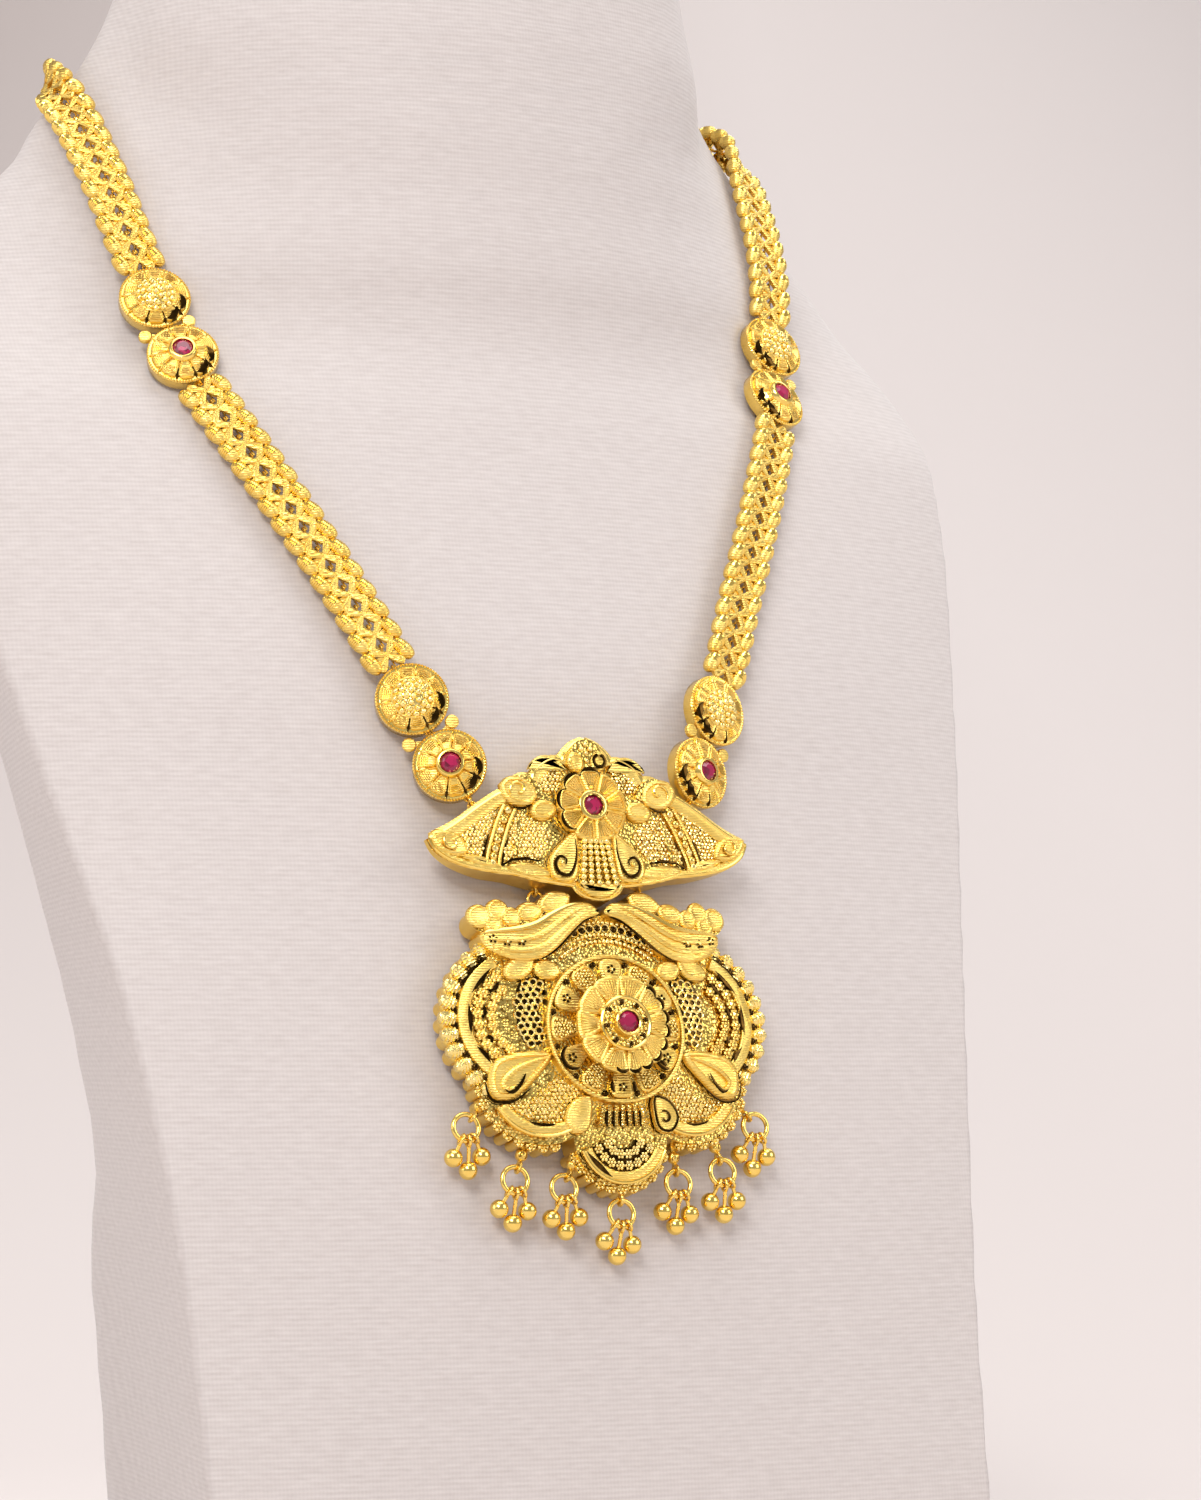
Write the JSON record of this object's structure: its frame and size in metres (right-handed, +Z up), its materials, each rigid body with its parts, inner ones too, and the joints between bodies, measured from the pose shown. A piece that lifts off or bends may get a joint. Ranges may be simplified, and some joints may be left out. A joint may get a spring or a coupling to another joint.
{
  "type": "long necklace on a neck bust",
  "caption": "Long necklace of fluted links and round plaques with a winged plaque, a domed flower pendant and ball drops, laid on a plain linen neck bust.",
  "frame": {"origin": "bottom centre of the bust's base, on the floor", "axes": "+Z up, -Y the front that the pendant faces, +X to the right seen from the front"},
  "size_m": [0.218, 0.1507, 0.358],
  "materials": {
    "gold": "polished and satin yellow gold colour",
    "ruby": "polished magenta red stone",
    "linen": "fine off-white weave stretched over the form"
  },
  "bodies": {
    "root": {"neck_bust": "linen", "upper_plaque": "gold", "plaque_ruby": "ruby", "lower_pendant": "gold", "pendant_ruby": "ruby", "hinge_ring_left": "gold", "hinge_ring_right": "gold", "hanger_ring_left": "gold", "hanger_ring_right": "gold", "low_ruby_disc_left": "gold", "low_ruby_disc_right": "gold", "low_grain_disc_left": "gold", "low_grain_disc_right": "gold", "high_ruby_disc_left": "gold", "high_ruby_disc_right": "gold", "high_grain_disc_left": "gold", "high_grain_disc_right": "gold", "low_ruby_left": "ruby", "low_ruby_right": "ruby", "high_ruby_left": "ruby", "high_ruby_right": "ruby", "low_band_left": "gold", "low_band_right": "gold", "high_band_left": "gold", "high_band_right": "gold", "drop_1": "gold", "drop_2": "gold", "drop_3": "gold", "drop_4": "gold", "drop_5": "gold", "drop_6": "gold", "drop_7": "gold", "clasp": "gold"}
  },
  "joints": []
}
